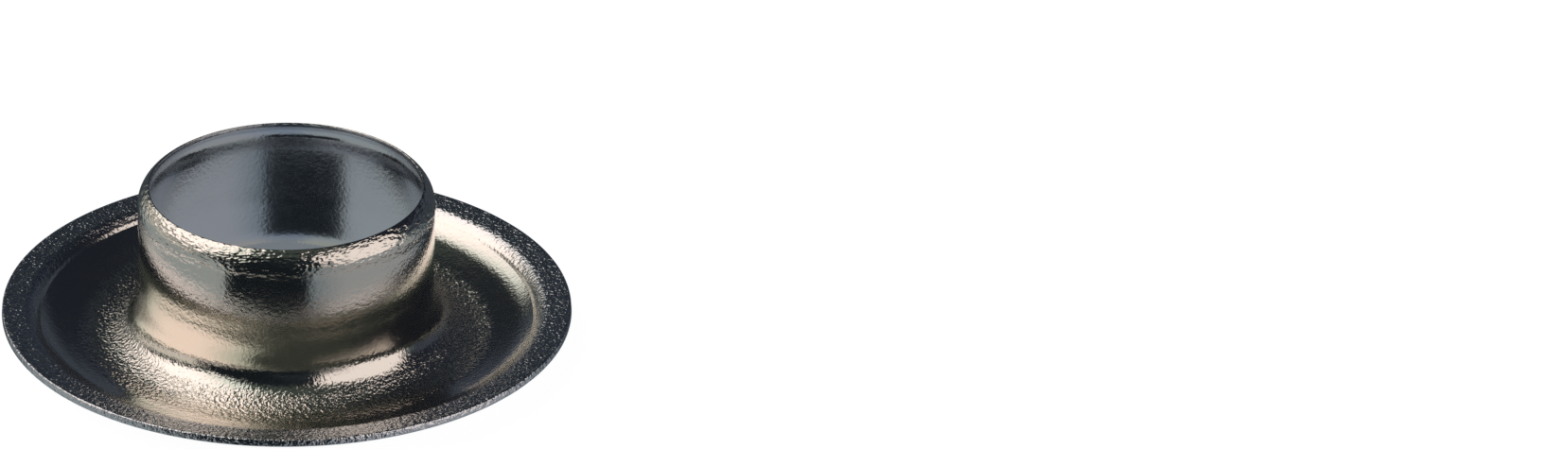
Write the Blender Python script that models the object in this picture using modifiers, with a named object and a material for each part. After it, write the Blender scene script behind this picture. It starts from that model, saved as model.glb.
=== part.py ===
"""Grommet eyelet for tarpaulins, banners and sails.

A disc of sheet metal is drawn into a flange and a barrel, pierced, curled in at the mouth and plated.
It stands on the crown of its flange with the barrel up, as it lies on a bench before it is set.

Blender 4.5, metres, +Z up. The origin is on the barrel's axis, in the plane that the crown rests on.
The section is drawn in the XZ plane, as x = radius and y = height, and turned about Z.
"""

import math

import bpy
from mathutils import Vector

# Flange, seen from the barrel's side: a flat rim band, a step down, a dished trough, and a crown with
# a narrow flat, from which the sheet turns up into the barrel on a wide bend
FLANGE_RADIUS = 0.01200
SEAT_HEIGHT = 0.00150
CREASE_RADIUS = 0.01040
CREASE_DEPTH = 0.00041
STEP_ANGLE = math.radians(41)
SHOULDER_BEND = 0.00060
CREASE_BEND = 0.00012
TROUGH_ANGLE = math.radians(32)
TROUGH_BEND = 0.0024
FLOOR_ANGLE = math.radians(13)
CROWN_RADIUS = 0.00822

# Barrel, measured on its outside: it flares towards the flange, has a waist and widens to its mouth
NECK_BEND = 0.00170
FLARE_ANGLE = math.radians(1.5)
WAIST_RADIUS = 0.00620
WAIST_HEIGHT = 0.00330
WAIST_BEND = 0.0030
MOUTH_ANGLE = math.radians(1.1)
LIP_HEIGHT = 0.00714
NOSE_BEND = 0.00105
NOSE_TURN = math.radians(58)
LIP_LAND = 0.00004

# Sheet: the wall keeps its gauge up to the waist and is drawn thinner from there to the lip
WALL = 0.00033
LIP_WALL = 0.00016
CUT_EDGE_ROUND = 0.00006

# Facets
TURN_STEPS = 80
BEND_STEP = math.radians(12)
EDGE_STEPS = 2
TIP_STEPS = 3

COLLECTION_NAME = "grommet_eyelet"


def clear_scene():
    for thing in list(bpy.data.objects):
        bpy.data.objects.remove(thing, do_unlink=True)


def left_of(direction):
    """The side that faces out of the metal when the section is followed from the lip to the rim."""
    return Vector((-direction.y, direction.x))


def towards(angle):
    return Vector((math.cos(angle), math.sin(angle)))


def crossing(one, one_angle, other, other_angle):
    """Where the line through one at its angle meets the line through other at its own."""
    way = towards(one_angle)
    across = left_of(towards(other_angle))
    return one + way * ((other - one).dot(across) / way.dot(across))


def follow_bends(corners):
    """Follow straight runs from corner to corner and round each inner corner on its own bend radius.

    corners holds pairs of place and bend radius. The result holds pairs of place and outward normal.
    """
    first, last = corners[0][0], corners[-1][0]
    line = [(first, left_of((corners[1][0] - first).normalized()))]
    for (before, _), (corner, bend), (after, _) in zip(corners, corners[1:], corners[2:]):
        arrive = (corner - before).normalized()
        leave = (after - corner).normalized()
        turn = math.atan2(arrive.cross(leave), arrive.dot(leave))
        side = math.copysign(1.0, turn)
        start = corner - arrive * bend * math.tan(abs(turn) / 2)
        centre = start + left_of(arrive) * bend * side
        steps = max(2, math.ceil(abs(turn) / BEND_STEP))
        heading = math.atan2(arrive.y, arrive.x)
        for step in range(steps + 1):
            normal = left_of(towards(heading + turn * step / steps))
            line.append((centre - normal * bend * side, normal))
    line.append((last, left_of((last - corners[-2][0]).normalized())))
    return line


def barrel_side_corners():
    """Corners of the face on the barrel's side, from the lip down the barrel and out to the rim."""
    nose_height = LIP_HEIGHT - NOSE_BEND * math.sin(NOSE_TURN)
    mouth_radius = WAIST_RADIUS + (nose_height - WAIST_HEIGHT) * math.tan(MOUTH_ANGLE)
    nose_centre = Vector((mouth_radius - NOSE_BEND / math.cos(MOUTH_ANGLE), nose_height))
    half_turn = (NOSE_TURN + MOUTH_ANGLE) / 2
    nose_corner = nose_centre + towards(NOSE_TURN - half_turn) * NOSE_BEND / math.cos(half_turn)
    lip_end = nose_centre + towards(NOSE_TURN) * NOSE_BEND
    lip_end = lip_end + left_of(towards(NOSE_TURN)) * LIP_LAND

    waist = Vector((WAIST_RADIUS, WAIST_HEIGHT))
    crown = Vector((CROWN_RADIUS, WALL))
    neck_foot = crossing(waist, FLARE_ANGLE - math.pi / 2, crown, 0.0)

    rim = Vector((FLANGE_RADIUS - CUT_EDGE_ROUND, SEAT_HEIGHT))
    crease = Vector((CREASE_RADIUS, SEAT_HEIGHT - CREASE_DEPTH))
    shoulder = crossing(crease, STEP_ANGLE, rim, 0.0)
    trough = crossing(crown, FLOOR_ANGLE, crease, TROUGH_ANGLE)

    return [
        (lip_end, 0.0),
        (nose_corner, NOSE_BEND),
        (waist, WAIST_BEND),
        (neck_foot, NECK_BEND),
        (crown, NECK_BEND),
        (trough, TROUGH_BEND),
        (crease, CREASE_BEND),
        (shoulder, SHOULDER_BEND),
        (rim, 0.0),
    ]


def wall_at(height):
    """Gauge of the sheet at a height on the barrel's outside."""
    drawn = (height - WAIST_HEIGHT) / (LIP_HEIGHT - WAIST_HEIGHT)
    drawn = min(max(drawn, 0.0), 1.0)
    return WALL + (LIP_WALL - WALL) * drawn


def cut_edge():
    """The sheared edge of the rim, with both its corners slightly rounded."""
    inset = FLANGE_RADIUS - CUT_EDGE_ROUND
    upper = Vector((inset, SEAT_HEIGHT - CUT_EDGE_ROUND))
    lower = Vector((inset, SEAT_HEIGHT - WALL + CUT_EDGE_ROUND))
    quarter = math.pi / 2
    points = []
    for step in range(1, EDGE_STEPS + 1):
        points.append(upper + towards(quarter * (1 - step / EDGE_STEPS)) * CUT_EDGE_ROUND)
    for step in range(EDGE_STEPS):
        points.append(lower + towards(-quarter * step / EDGE_STEPS) * CUT_EDGE_ROUND)
    return points


def lip_tip(place, normal):
    """The rounded tip of the lip, from its bore side over to its outer side."""
    radius = wall_at(place.y) / 2
    middle = place - normal * radius
    outer = math.atan2(normal.y, normal.x)
    points = []
    for step in range(1, TIP_STEPS):
        points.append(middle + towards(outer + math.pi * (1 - step / TIP_STEPS)) * radius)
    return points


def section_points():
    """The closed outline of the sheet: down the barrel's outside, over the rim and back up the bore."""
    face = follow_bends(barrel_side_corners())
    outer_side = [place for place, normal in face]
    bore_side = [place - normal * wall_at(place.y) for place, normal in reversed(face)]
    return outer_side + cut_edge() + bore_side + lip_tip(*face[0])


def plated_metal():
    material = bpy.data.materials.new("dark_nickel_plate")
    material.use_nodes = True
    shader = material.node_tree.nodes["Principled BSDF"]
    shader.inputs["Base Color"].default_value = (0.42, 0.40, 0.38, 1.0)
    shader.inputs["Metallic"].default_value = 1.0
    shader.inputs["Roughness"].default_value = 0.24
    return material


def make_eyelet(collection):
    outline = section_points()
    count = len(outline)
    edges = [(index, (index + 1) % count) for index in range(count)]
    mesh = bpy.data.meshes.new("eyelet")
    mesh.from_pydata([(point.x, 0.0, point.y) for point in outline], edges, [])
    mesh.materials.append(plated_metal())

    eyelet = bpy.data.objects.new("eyelet", mesh)
    collection.objects.link(eyelet)
    turning = eyelet.modifiers.new("turn_about_axis", "SCREW")
    turning.axis = "Z"
    turning.angle = math.tau
    turning.steps = TURN_STEPS
    turning.render_steps = TURN_STEPS
    turning.use_smooth_shade = True
    return eyelet


def build():
    clear_scene()
    collection = bpy.data.collections.new(COLLECTION_NAME)
    bpy.context.scene.collection.children.link(collection)
    make_eyelet(collection)


build()
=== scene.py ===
"""A plated steel grommet eyelet, barrel up, on a pale table under two soft lights."""
import math

import bmesh
import bpy
from mathutils import Matrix, Vector


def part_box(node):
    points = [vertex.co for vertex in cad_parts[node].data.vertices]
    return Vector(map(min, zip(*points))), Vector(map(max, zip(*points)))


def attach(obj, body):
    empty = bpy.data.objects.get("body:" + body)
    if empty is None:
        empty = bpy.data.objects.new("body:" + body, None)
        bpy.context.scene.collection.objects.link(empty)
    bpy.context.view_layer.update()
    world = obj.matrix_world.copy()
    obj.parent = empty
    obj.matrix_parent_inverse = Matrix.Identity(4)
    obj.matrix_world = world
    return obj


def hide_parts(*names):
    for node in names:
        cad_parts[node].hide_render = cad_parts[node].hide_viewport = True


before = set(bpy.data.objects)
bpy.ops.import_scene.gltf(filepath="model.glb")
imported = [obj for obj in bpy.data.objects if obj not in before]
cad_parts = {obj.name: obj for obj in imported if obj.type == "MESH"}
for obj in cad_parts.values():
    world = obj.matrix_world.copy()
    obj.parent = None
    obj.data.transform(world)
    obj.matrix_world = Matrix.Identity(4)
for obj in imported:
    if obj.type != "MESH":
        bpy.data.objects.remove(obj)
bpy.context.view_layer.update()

# Camera: a long lens, held a little over half a metre off and turned down by about 28 degrees.
# The photograph keeps the eyelet at its left, so the camera looks past it to the right.
PHOTO_WIDTH = 1657
PHOTO_HEIGHT = 475
SENSOR_WIDTH = 36.0
PIXELS_FOCAL = 14020.0
CAMERA_DISTANCE = 0.560
LOOKING_DOWN = math.radians(27.65)
CAMERA_ROLL = math.radians(0.8)
SEAT_PIXEL = (303.2, 321.8)
SEAT_CENTRE = Vector((0.0, 0.0, 0.0015))

forward = Vector((0.0, math.cos(LOOKING_DOWN), -math.sin(LOOKING_DOWN)))
level = Vector((1.0, 0.0, 0.0))
steep = Vector((0.0, math.sin(LOOKING_DOWN), math.cos(LOOKING_DOWN)))
camera_right = level * math.cos(CAMERA_ROLL) + steep * math.sin(CAMERA_ROLL)
camera_up = steep * math.cos(CAMERA_ROLL) - level * math.sin(CAMERA_ROLL)
beside = (SEAT_PIXEL[0] - PHOTO_WIDTH / 2) / PIXELS_FOCAL * CAMERA_DISTANCE
above = (PHOTO_HEIGHT / 2 - SEAT_PIXEL[1]) / PIXELS_FOCAL * CAMERA_DISTANCE
camera_place = SEAT_CENTRE - camera_right * beside - camera_up * above - forward * CAMERA_DISTANCE

camera_data = bpy.data.cameras.new("camera")
camera_data.sensor_width = SENSOR_WIDTH
camera_data.lens = SENSOR_WIDTH * PIXELS_FOCAL / PHOTO_WIDTH
camera_data.clip_start = 0.01
camera_data.clip_end = 5.0
camera = bpy.data.objects.new("camera", camera_data)
bpy.context.scene.collection.objects.link(camera)
turn = Matrix((camera_right, camera_up, -forward)).transposed()
camera.matrix_world = Matrix.Translation(camera_place) @ turn.to_4x4()
bpy.context.scene.camera = camera
bpy.context.scene.view_settings.view_transform = "Standard"

# Table: plain pale paper. It glows, so that it stays near white with only a faint shadow. The metal
# doesn't mirror it: the eyelet is lit as if standing on clear glass over the paper.
TABLE_HALF_WIDTH = 3.0
PAPER_GLOW = 1.0
PAPER_WHITE = (0.96, 0.96, 0.965, 1.0)
PAPER_GREY = (0.16, 0.16, 0.16, 1.0)

table_mesh = bmesh.new()
bmesh.ops.create_grid(table_mesh, x_segments=1, y_segments=1, size=TABLE_HALF_WIDTH)
table_data = bpy.data.meshes.new("table")
table_mesh.to_mesh(table_data)
table_mesh.free()
table = bpy.data.objects.new("table", table_data)
bpy.context.scene.collection.objects.link(table)
table.visible_glossy = False
table.visible_diffuse = False
table.visible_shadow = False

paper = bpy.data.materials.new("pale_paper")
paper.use_nodes = True
paper_nodes = paper.node_tree.nodes
paper_links = paper.node_tree.links
paper_nodes.clear()
paper_out = paper_nodes.new("ShaderNodeOutputMaterial")
paper_face = paper_nodes.new("ShaderNodeBsdfPrincipled")
paper_face.inputs["Base Color"].default_value = PAPER_GREY
paper_face.inputs["Roughness"].default_value = 0.9
paper_face.inputs["Specular IOR Level"].default_value = 0.0
paper_face.inputs["Emission Color"].default_value = PAPER_WHITE
paper_face.inputs["Emission Strength"].default_value = PAPER_GLOW
see_through = paper_nodes.new("ShaderNodeBsdfTransparent")
which_side = paper_nodes.new("ShaderNodeMixShader")
side = paper_nodes.new("ShaderNodeNewGeometry")
paper_links.new(side.outputs["Backfacing"], which_side.inputs["Fac"])
paper_links.new(paper_face.outputs["BSDF"], which_side.inputs[1])
paper_links.new(see_through.outputs["BSDF"], which_side.inputs[2])
paper_links.new(which_side.outputs["Shader"], paper_out.inputs["Surface"])
table_data.materials.append(paper)

# Studio: a large softbox on the left and a smaller one on the right, with dim walls, a ceiling and a
# floor round them. Each is a soft-edged patch of the surroundings, placed by azimuth and elevation in
# degrees. Azimuth 0 is straight away from the camera and 90 is to the right.
BACKDROP = (0.017, 0.022, 0.028)
FLOOR_NEAR = (0.10, 0.145, 0.155)
FLOOR_UNDER = (0.24, 0.29, 0.36)
FLOOR_AHEAD = (0.05, 0.06, 0.07)
BESIDE_LEFT = (0.355, 0.40, 0.415)
BESIDE_RIGHT = (0.355, 0.38, 0.41)
CEILING = (0.055, 0.07, 0.065)
DARK_WALL = (0.015, 0.019, 0.029)
DARK_ROOM = (0.010, 0.014, 0.018)
LOW_STRIP = (0.055, 0.068, 0.095)
REFLECTOR = (0.75, 0.71, 0.65)
SOFTBOX_LEFT = (0.87, 0.97, 0.91)
WARM_CORE = (1.76, 1.55, 1.54)
SOFTBOX_RIGHT = (1.15, 1.05, 1.04)
ALL_ROUND = 400

studio = bpy.data.worlds.new("studio")
bpy.context.scene.world = studio
studio.use_nodes = True
sky_nodes = studio.node_tree.nodes
sky_links = studio.node_tree.links
sky_nodes.clear()


def sky_math(operation, first, second=0.0):
    node = sky_nodes.new("ShaderNodeMath")
    node.operation = operation
    for socket, value in zip(node.inputs, (first, second)):
        if isinstance(value, (int, float)):
            socket.default_value = value
        else:
            sky_links.new(value, socket)
    return node.outputs[0]


looking = sky_nodes.new("ShaderNodeTexCoord").outputs["Generated"]
split = sky_nodes.new("ShaderNodeSeparateXYZ")
sky_links.new(looking, split.inputs[0])
azimuth = sky_math("MULTIPLY", sky_math("ARCTAN2", split.outputs["X"], split.outputs["Y"]), 180 / math.pi)
elevation = sky_math("MULTIPLY", sky_math("ARCSINE", split.outputs["Z"]), 180 / math.pi)
light_so_far = sky_nodes.new("ShaderNodeRGB").outputs[0]
light_so_far.default_value = (*BACKDROP, 1.0)


def soft_step(distance, reach, edge):
    ramp = sky_nodes.new("ShaderNodeMapRange")
    ramp.interpolation_type = "SMOOTHSTEP"
    sky_links.new(distance, ramp.inputs["Value"])
    ramp.inputs["From Min"].default_value = reach - edge / 2
    ramp.inputs["From Max"].default_value = reach + edge / 2
    ramp.inputs["To Min"].default_value = 1.0
    ramp.inputs["To Max"].default_value = 0.0
    return ramp.outputs["Result"]


def lit_patch(colour, centre, width, bottom, top, side_edge, height_edge, lean=0.0):
    """Lay a soft patch of light over what is there. lean slides it sideways as it rises."""
    global light_so_far
    middle = sky_math("ADD", sky_math("MULTIPLY", elevation, lean), centre - lean * (bottom + top) / 2)
    aside = sky_nodes.new("ShaderNodeMath")
    aside.operation = "WRAP"
    sky_links.new(sky_math("SUBTRACT", azimuth, middle), aside.inputs[0])
    aside.inputs[1].default_value = 180.0
    aside.inputs[2].default_value = -180.0
    along = soft_step(sky_math("ABSOLUTE", aside.outputs[0]), width / 2, side_edge)
    off = sky_math("ABSOLUTE", sky_math("SUBTRACT", elevation, (bottom + top) / 2))
    share = sky_math("MULTIPLY", along, soft_step(off, (top - bottom) / 2, height_edge))
    mix = sky_nodes.new("ShaderNodeMix")
    mix.data_type = "RGBA"
    sky_links.new(share, mix.inputs["Factor"])
    sky_links.new(light_so_far, mix.inputs["A"])
    mix.inputs["B"].default_value = (*colour, 1.0)
    light_so_far = mix.outputs["Result"]


# Floor of the studio, and what it throws back at both sides.
lit_patch(FLOOR_NEAR, centre=0, width=ALL_ROUND, bottom=-100, top=10, side_edge=10, height_edge=18)
lit_patch(FLOOR_UNDER, centre=0, width=ALL_ROUND, bottom=-110, top=-30, side_edge=10, height_edge=28)
lit_patch(BESIDE_LEFT, centre=-102, width=104, bottom=-74, top=-3, side_edge=20, height_edge=6, lean=0.3)
lit_patch(BESIDE_RIGHT, centre=104, width=92, bottom=-70, top=-13,
          side_edge=44, height_edge=6, lean=-0.2)
# Ceiling, the dark wall ahead, the dark room behind the camera, and the floor ahead.
lit_patch(CEILING, centre=0, width=ALL_ROUND, bottom=43, top=110, side_edge=10, height_edge=6)
lit_patch(DARK_WALL, centre=39, width=95, bottom=-20, top=69, side_edge=16, height_edge=24, lean=0.7)
lit_patch(DARK_ROOM, centre=-167, width=67, bottom=-46, top=12, side_edge=8, height_edge=10)
lit_patch(FLOOR_AHEAD, centre=-4, width=65, bottom=-66, top=4, side_edge=15, height_edge=26)
# A lighter strip low behind the eyelet, which shows in the trough's outer slope.
lit_patch(LOW_STRIP, centre=25, width=100, bottom=-9, top=17, side_edge=20, height_edge=10)
# A reflector low on the left, which lights the foot of the neck.
lit_patch(REFLECTOR, centre=-95, width=104, bottom=-2, top=13, side_edge=26, height_edge=5)
# Softboxes. The left one is brightest at its middle. The room behind the camera shades their edges.
lit_patch(SOFTBOX_LEFT, centre=-89.5, width=113, bottom=22, top=77, side_edge=14, height_edge=8)
lit_patch(WARM_CORE, centre=-83.5, width=74, bottom=23, top=74, side_edge=45, height_edge=10, lean=0.1)
lit_patch(SOFTBOX_RIGHT, centre=119, width=68, bottom=-11, top=46, side_edge=8, height_edge=10)
lit_patch(DARK_ROOM, centre=168, width=64, bottom=-5, top=10, side_edge=26, height_edge=22)
lit_patch(DARK_ROOM, centre=-147, width=50, bottom=-4, top=33, side_edge=12, height_edge=16, lean=-0.8)

sky_light = sky_nodes.new("ShaderNodeBackground")
sky_links.new(light_so_far, sky_light.inputs["Color"])
plain = sky_nodes.new("ShaderNodeBackground")
plain.inputs["Color"].default_value = PAPER_WHITE
seen = sky_nodes.new("ShaderNodeLightPath")
either = sky_nodes.new("ShaderNodeMixShader")
sky_out = sky_nodes.new("ShaderNodeOutputWorld")
sky_links.new(seen.outputs["Is Camera Ray"], either.inputs["Fac"])
sky_links.new(sky_light.outputs[0], either.inputs[1])
sky_links.new(plain.outputs[0], either.inputs[2])
sky_links.new(either.outputs[0], sky_out.inputs["Surface"])

# Eyelet: one cup pressed from thin steel strip, its barrel drawn up and pierced, its flange dished
# with a step below the rim, then tumbled and plated with nickel. The section is drawn along its
# showing face and spun about the axis, and the sheet gets its thickness on the other side.
NODE = "eyelet"
FLANGE_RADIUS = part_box(NODE)[1].x
SEAT_HEIGHT = 0.00150
RIM_ANGLE = math.radians(4)
CREASE_RADIUS = 0.01040
CREASE_DEPTH = 0.00047
STEP_FOOT_ANGLE = math.radians(51)
STEP_FOOT_RUN = 0.00016
STEP_FOOT_BEND = 0.00036
STEP_ANGLE = math.radians(36)
SHOULDER_BEND = 0.00060
CREASE_BEND = 0.00007
TROUGH_ANGLE = math.radians(32)
TROUGH_BEND = 0.0024
FLOOR_ANGLE = math.radians(13)
CROWN_RADIUS = 0.00822
NECK_BEND = 0.00170
FLARE_ANGLE = math.radians(1.5)
WAIST_RADIUS = 0.006207
WAIST_HEIGHT = 0.00333
WAIST_BEND = 0.0035
BELLY_RADIUS = 0.006236
BELLY_HEIGHT = 0.00405
BELLY_BEND = 0.012
MOUTH_ANGLE = math.radians(0.6)
LIP_HEIGHT = 0.00717
NOSE_BEND = 0.00105
NOSE_TURN = math.radians(58)
WALL = 0.00033
LIP_WALL = 0.00016
NOSE_FOOT = 0.00590
CUT_EDGE_ROUND = 0.00006
LIP_EDGE_ROUND = LIP_WALL * 0.45
CUT_EDGE_ANGLE = math.radians(50)
MESH_STEP = 0.00017
MESH_BEND = math.radians(6)
TURN_STEPS = 480


def towards(angle):
    return Vector((math.cos(angle), 0.0, math.sin(angle)))


def crossing(one, one_angle, other, other_angle):
    """Where the line through one at its angle meets the line through other at its own."""
    way = towards(one_angle)
    across = towards(other_angle + math.pi / 2)
    return one + way * (other - one).dot(across) / way.dot(across)


nose_height = LIP_HEIGHT - NOSE_BEND * math.sin(NOSE_TURN)
mouth_radius = BELLY_RADIUS + (nose_height - BELLY_HEIGHT) * math.tan(MOUTH_ANGLE)
nose_centre = Vector((mouth_radius - NOSE_BEND / math.cos(MOUTH_ANGLE), 0.0, nose_height))
half_turn = (NOSE_TURN + MOUTH_ANGLE) / 2
nose_corner = nose_centre + towards(NOSE_TURN - half_turn) * NOSE_BEND / math.cos(half_turn)
lip_end = nose_centre + towards(NOSE_TURN) * NOSE_BEND
belly = Vector((BELLY_RADIUS, 0.0, BELLY_HEIGHT))
waist = Vector((WAIST_RADIUS, 0.0, WAIST_HEIGHT))
crown = Vector((CROWN_RADIUS, 0.0, WALL))
neck_foot = crossing(waist, FLARE_ANGLE - math.pi / 2, crown, 0.0)
rim = Vector((FLANGE_RADIUS, 0.0, SEAT_HEIGHT))
crease = Vector((CREASE_RADIUS, 0.0, SEAT_HEIGHT - CREASE_DEPTH))
step_foot = crease + towards(STEP_FOOT_ANGLE) * STEP_FOOT_RUN
shoulder = crossing(step_foot, STEP_ANGLE, rim, RIM_ANGLE)
trough = crossing(crown, FLOOR_ANGLE, crease, TROUGH_ANGLE)
corners = [
    (lip_end, 0.0),
    (nose_corner, NOSE_BEND),
    (belly, BELLY_BEND),
    (waist, WAIST_BEND),
    (neck_foot, NECK_BEND),
    (crown, NECK_BEND),
    (trough, TROUGH_BEND),
    (crease, CREASE_BEND),
    (step_foot, STEP_FOOT_BEND),
    (shoulder, SHOULDER_BEND),
    (rim, 0.0),
]

sheet = bmesh.new()
tip = bmesh.ops.create_vert(sheet, co=lip_end)["vert"][0]


def draw_run(tip, place):
    way = place - tip.co
    steps = max(1, round(way.length / MESH_STEP))
    for _ in range(steps):
        tip = bmesh.ops.extrude_vert_indiv(sheet, verts=[tip])["verts"][0]
        bmesh.ops.translate(sheet, verts=[tip], vec=way / steps)
    return tip


for (before, _), (corner, radius), (after, _) in zip(corners, corners[1:], corners[2:]):
    arrive = (corner - before).normalized()
    leave = (after - corner).normalized()
    turned = math.atan2(arrive.x * leave.z - arrive.z * leave.x, arrive.dot(leave))
    start = corner - arrive * radius * math.tan(abs(turned) / 2)
    if (start - tip.co).length > MESH_STEP / 4:
        tip = draw_run(tip, start)
    left = Vector((-arrive.z, 0.0, arrive.x))
    arc_steps = max(2, math.ceil(abs(turned) / MESH_BEND), round(abs(turned) * radius / MESH_STEP))
    arc = bmesh.ops.spin(
        sheet, geom=[tip], cent=tip.co + left * math.copysign(radius, turned), axis=(0.0, -1.0, 0.0),
        angle=turned, steps=arc_steps, use_duplicate=False)
    tip = next(item for item in arc["geom_last"] if isinstance(item, bmesh.types.BMVert))
draw_run(tip, corners[-1][0])

bmesh.ops.spin(
    sheet, geom=sheet.edges[:] + sheet.verts[:], cent=(0.0, 0.0, 0.0), axis=(0.0, 0.0, 1.0),
    angle=2 * math.pi, steps=TURN_STEPS, use_merge=True)
bmesh.ops.remove_doubles(sheet, verts=sheet.verts[:], dist=1e-7)
bmesh.ops.recalc_face_normals(sheet, faces=sheet.faces[:])
rim_face = max(sheet.faces, key=lambda face: face.calc_center_median().xy.length)
if rim_face.normal.z < 0:
    bmesh.ops.reverse_faces(sheet, faces=sheet.faces[:])
back = bmesh.ops.solidify(sheet, geom=sheet.faces[:], thickness=WALL)["geom"]

# The nose thins towards the lip: its bore side lies closer to its face there.
sheet.normal_update()
back_verts = [item for item in back if isinstance(item, bmesh.types.BMVert)]
for vert in back_verts:
    drawn = min(max((vert.co.z - NOSE_FOOT) / (LIP_HEIGHT - NOSE_FOOT), 0.0), 1.0)
    if drawn > 0 and vert.co.xy.length < mouth_radius:
        vert.co -= vert.normal * (WALL - LIP_WALL) * drawn

# Tumbling rounds the two cut edges a little, at the rim and at the lip.
rim_corners = []
lip_corners = []
for edge in sheet.edges:
    if edge.calc_face_angle(0.0) < CUT_EDGE_ANGLE:
        continue
    middle = (edge.verts[0].co + edge.verts[1].co) / 2
    if middle.xy.length > FLANGE_RADIUS - WALL:
        rim_corners.append(edge)
    elif middle.z > nose_height:
        lip_corners.append(edge)
bmesh.ops.bevel(
    sheet, geom=rim_corners, offset=CUT_EDGE_ROUND, offset_type="OFFSET", segments=3, profile=0.5,
    affect="EDGES", material=-1)
bmesh.ops.bevel(
    sheet, geom=lip_corners, offset=LIP_EDGE_ROUND, offset_type="OFFSET", segments=3, profile=0.5,
    affect="EDGES", material=-1)
sheet.normal_update()

shell_data = bpy.data.meshes.new("plated_eyelet")
sheet.to_mesh(shell_data)
sheet.free()
shell_data.shade_smooth()
shell = bpy.data.objects.new("plated_eyelet", shell_data)
bpy.context.scene.collection.objects.link(shell)

# Nickel plating over tumbled steel: bright, with a fine sandy grain, flecks on the bend round the
# neck, a peel on the nose stretched along its edge, and a scuffed rim. Each zone is a ramp between
# two distances from the axis, or between two heights or distances on the nose.
NOSE_RISE = (0.0058, 0.0066)
NOSE_FACE = (NOSE_BEND * 0.90, NOSE_BEND * 0.97)
RIM_STARTS = (0.0104, 0.0111)
BEND_STARTS = (0.0065, 0.0070)
BEND_ENDS = (0.0083, 0.0091)
SAND_STARTS = (0.0062, 0.0070)
SAND_FADES = (0.0078, 0.0088)
BARREL_ENDS = (0.0064, 0.0070)
BORE_ENDS = (0.00592, 0.00606)
SAND_SIZE = 0.00016
SAND_HEIGHT = 0.000042
FLECK_SIZE = 0.00017
FLECK_HEIGHT = 0.000072
FLECK_CIRCLE = 0.0085
PEEL_SIZE = 0.00019
PEEL_HEIGHT = 0.000064
PEEL_CIRCLE = 0.0034
SCUFF_SIZE = 0.0005
SCUFF_HEIGHT = 0.000060
SCUFF_RANGE = (0.3, 0.7)
RIPPLE_SIZE = 0.0016
RIPPLE_HEIGHT = 0.000003
BARREL_SAND = 0.20
FLOOR_SAND = 0.34
RIM_SAND = 1.45
WARM_NICKEL = (0.68, 0.64, 0.57, 1.0)
COOL_NICKEL = (0.61, 0.62, 0.65, 1.0)
RIM_COOLNESS = 0.8
PLAIN_ROUGHNESS = 0.12
SCUFFED_ROUGHNESS = 0.16
BARREL_SMOOTHER = -0.04
BORE_ROUGHER = 0.10

plating = bpy.data.materials.new("nickel_plating")
plating.use_nodes = True
plate_nodes = plating.node_tree.nodes
plate_links = plating.node_tree.links
metal = plate_nodes["Principled BSDF"]
metal.inputs["Metallic"].default_value = 1.0


def plate_math(operation, first, second=0.0, third=0.0):
    node = plate_nodes.new("ShaderNodeMath")
    node.operation = operation
    for socket, value in zip(node.inputs, (first, second, third)):
        if isinstance(value, (int, float)):
            socket.default_value = value
        else:
            plate_links.new(value, socket)
    return node.outputs[0]


def plate_noise(vector, grain_size, detail, roughness):
    """Noise whose grains are about grain_size metres across."""
    node = plate_nodes.new("ShaderNodeTexNoise")
    plate_links.new(vector, node.inputs["Vector"])
    node.inputs["Scale"].default_value = 1 / grain_size
    node.inputs["Detail"].default_value = detail
    node.inputs["Roughness"].default_value = roughness
    return node.outputs["Fac"]


def plate_ramp(value, start, end, low_value, high_value):
    node = plate_nodes.new("ShaderNodeMapRange")
    node.interpolation_type = "SMOOTHSTEP"
    plate_links.new(value, node.inputs["Value"])
    node.inputs["From Min"].default_value = start
    node.inputs["From Max"].default_value = end
    node.inputs["To Min"].default_value = low_value
    node.inputs["To Max"].default_value = high_value
    return node.outputs["Result"]


def plate_distance(first, second):
    first_squared = plate_math("MULTIPLY", first, first)
    second_squared = plate_math("MULTIPLY", second, second)
    return plate_math("SQRT", plate_math("ADD", first_squared, second_squared))


place = plate_nodes.new("ShaderNodeTexCoord").outputs["Object"]
split_place = plate_nodes.new("ShaderNodeSeparateXYZ")
plate_links.new(place, split_place.inputs[0])
across, deep, height = split_place.outputs
out_from_axis = plate_distance(across, deep)


def drawn_place(circle, along):
    """Coordinates on a circle of this radius, so that a noise stretches round the axis where the
    metal lies further out than it. A larger along makes the noise shorter down the section."""
    squeeze = plate_math("DIVIDE", circle, out_from_axis)
    down_section = plate_math("SUBTRACT", height, out_from_axis)
    node = plate_nodes.new("ShaderNodeCombineXYZ")
    plate_links.new(plate_math("MULTIPLY", across, squeeze), node.inputs["X"])
    plate_links.new(plate_math("MULTIPLY", deep, squeeze), node.inputs["Y"])
    plate_links.new(plate_math("MULTIPLY", down_section, along), node.inputs["Z"])
    return node.outputs[0]


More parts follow.
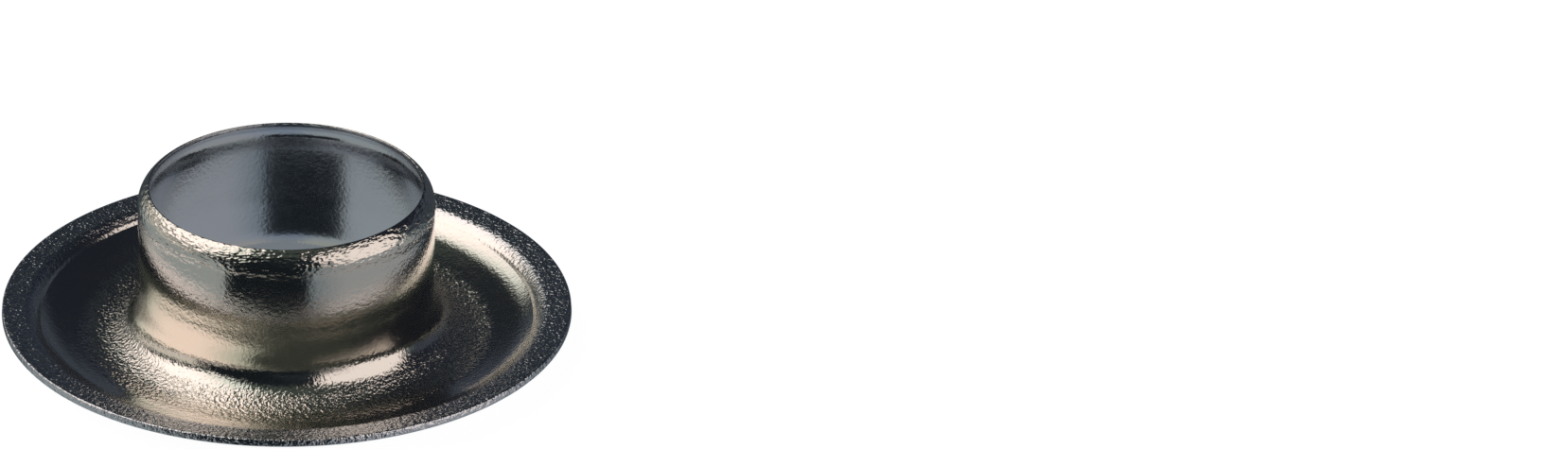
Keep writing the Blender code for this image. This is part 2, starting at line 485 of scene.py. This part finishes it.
# The distance from the centre of the nose's round tells its face from its bore side.
from_nose = plate_distance(plate_math("SUBTRACT", out_from_axis, nose_centre.x),
                           plate_math("SUBTRACT", height, nose_centre.z))
on_nose = plate_math("MULTIPLY", plate_ramp(height, *NOSE_RISE, 0.0, 1.0),
                     plate_ramp(from_nose, *NOSE_FACE, 0.0, 1.0))
on_rim = plate_ramp(out_from_axis, *RIM_STARTS, 0.0, 1.0)
on_bend = plate_math("MULTIPLY", plate_ramp(out_from_axis, *BEND_STARTS, 0.0, 1.0),
                     plate_ramp(out_from_axis, *BEND_ENDS, 1.0, 0.0))
sanded = plate_math("MULTIPLY", plate_ramp(out_from_axis, *SAND_STARTS, BARREL_SAND, 1.0),
                    plate_ramp(out_from_axis, *SAND_FADES, 1.0, FLOOR_SAND))
sanded = plate_math("MULTIPLY_ADD", on_rim, RIM_SAND, sanded)

sand = plate_noise(place, SAND_SIZE, detail=1.5, roughness=0.65)
fleck = plate_noise(drawn_place(FLECK_CIRCLE, along=1.2), FLECK_SIZE, detail=1.2, roughness=0.55)
peel = plate_noise(drawn_place(PEEL_CIRCLE, along=1.0), PEEL_SIZE, detail=1.3, roughness=0.6)
scuff = plate_noise(place, SCUFF_SIZE, detail=4.0, roughness=0.7)
ripple = plate_noise(place, RIPPLE_SIZE, detail=2.0, roughness=0.5)
relief = plate_math("MULTIPLY", ripple, RIPPLE_HEIGHT)
for grain, zone, grain_height in (
    (sand, sanded, SAND_HEIGHT),
    (fleck, on_bend, FLECK_HEIGHT),
    (peel, on_nose, PEEL_HEIGHT),
    (scuff, on_rim, SCUFF_HEIGHT),
):
    relief = plate_math("MULTIPLY_ADD", plate_math("MULTIPLY", grain, zone), grain_height, relief)
bump = plate_nodes.new("ShaderNodeBump")
bump.inputs["Strength"].default_value = 1.0
bump.inputs["Distance"].default_value = 1.0
plate_links.new(relief, bump.inputs["Height"])
plate_links.new(bump.outputs["Normal"], metal.inputs["Normal"])

# The plating is a warm grey, cooler in the bore and on the rim, and glossier on the barrel.
in_bore = plate_math("MULTIPLY", plate_ramp(out_from_axis, *BORE_ENDS, 1.0, 0.0),
                     plate_math("SUBTRACT", 1.0, on_nose))
tint = plate_nodes.new("ShaderNodeMix")
tint.data_type = "RGBA"
plate_links.new(plate_math("MULTIPLY_ADD", on_rim, RIM_COOLNESS, in_bore), tint.inputs["Factor"])
tint.inputs["A"].default_value = WARM_NICKEL
tint.inputs["B"].default_value = COOL_NICKEL
plate_links.new(tint.outputs["Result"], metal.inputs["Base Color"])
on_barrel = plate_ramp(out_from_axis, *BARREL_ENDS, 1.0, 0.0)
satin = plate_ramp(scuff, *SCUFF_RANGE, PLAIN_ROUGHNESS, SCUFFED_ROUGHNESS)
satin = plate_math("MULTIPLY_ADD", on_barrel, BARREL_SMOOTHER, satin)
satin = plate_math("MULTIPLY_ADD", in_bore, BORE_ROUGHER, satin)
plate_links.new(satin, metal.inputs["Roughness"])
shell_data.materials.append(plating)

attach(shell, "root")
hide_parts(NODE)
